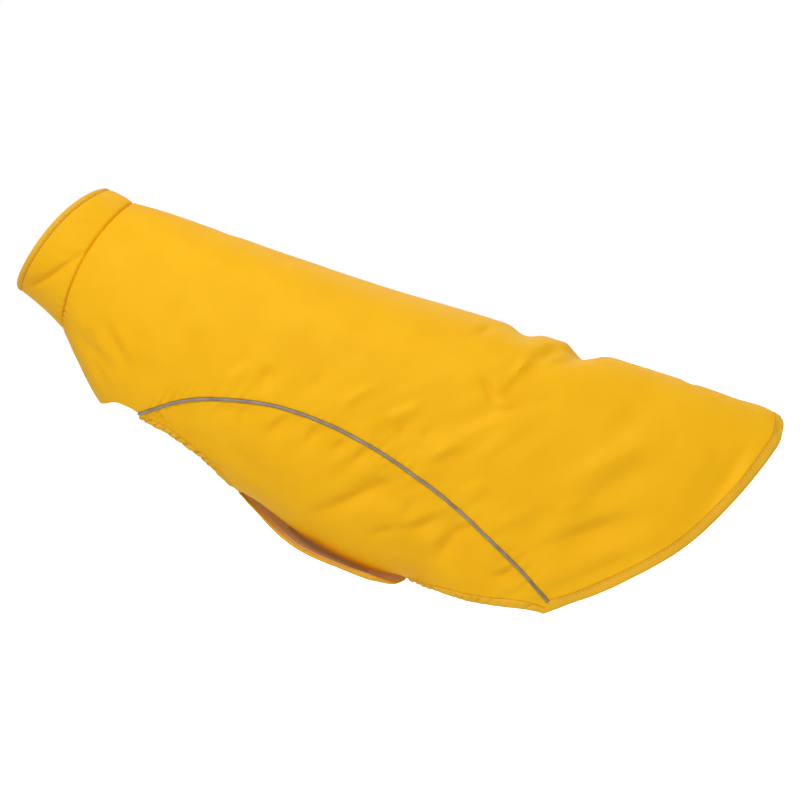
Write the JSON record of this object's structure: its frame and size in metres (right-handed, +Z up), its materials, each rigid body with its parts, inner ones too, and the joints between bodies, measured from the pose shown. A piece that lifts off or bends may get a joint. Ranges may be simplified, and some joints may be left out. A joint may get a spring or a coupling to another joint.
{
  "type": "dog raincoat",
  "caption": "Worn-shape dog raincoat: standing collar, back panel, piped side panels, belly flap over a tab, elastic leg and belly edges, stitched rear hem.",
  "frame": {"origin": "on the inner face of the back panel, 230 mm from the collar seam, where the wearer's back carries the coat", "axes": "+X from the head to the tail, +Y across to the far side, +Z up; the back falls 17.9 degrees towards the tail"},
  "size_m": [0.5583, 0.1552, 0.3005],
  "materials": {
    "shell": "fine plain weave rain cloth with a soft sheen",
    "edge": "the same cloth, turned and topstitched",
    "piping": "grey reflective tape round a cord",
    "lining": "tan knitted lining, matt",
    "closure": "hook and loop tape"
  },
  "bodies": {
    "root": {"back_panel": "shell", "side_panel_near": "shell", "side_panel_far": "shell", "leg_casing_near": "edge", "leg_casing_far": "edge", "strap_end_near": "edge", "strap_end_far": "edge", "belly_casing_near": "edge", "belly_casing_far": "edge", "piping_near": "piping", "piping_far": "piping", "rear_hem": "edge", "collar": "shell", "collar_rim": "edge", "flap_lining": "lining", "loop_patch": "closure", "hook_patch": "closure"}
  },
  "joints": []
}
